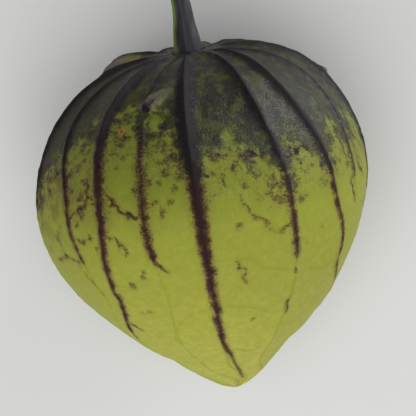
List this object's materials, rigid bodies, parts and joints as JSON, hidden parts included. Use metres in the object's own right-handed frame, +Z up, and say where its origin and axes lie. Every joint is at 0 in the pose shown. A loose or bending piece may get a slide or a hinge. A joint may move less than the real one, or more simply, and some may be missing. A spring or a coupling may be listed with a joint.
{
  "type": "tomatillo",
  "caption": "Tomatillo in its closed papery husk, heart-shaped and ribbed, with a short cut stalk, lying on its flank.",
  "frame": {"origin": "middle of the small flat spot on the husk's back that the fruit lies on", "axes": "+Y runs level towards the cut stalk, the tip points to -Y, +Z is up, and the side shown in the picture faces up"},
  "size_m": [0.0465, 0.0623, 0.0458],
  "materials": {
    "husk_skin": "satin",
    "stalk_skin": "satin"
  },
  "bodies": {
    "root": {"husk": "husk_skin", "stalk": "stalk_skin"}
  },
  "joints": []
}
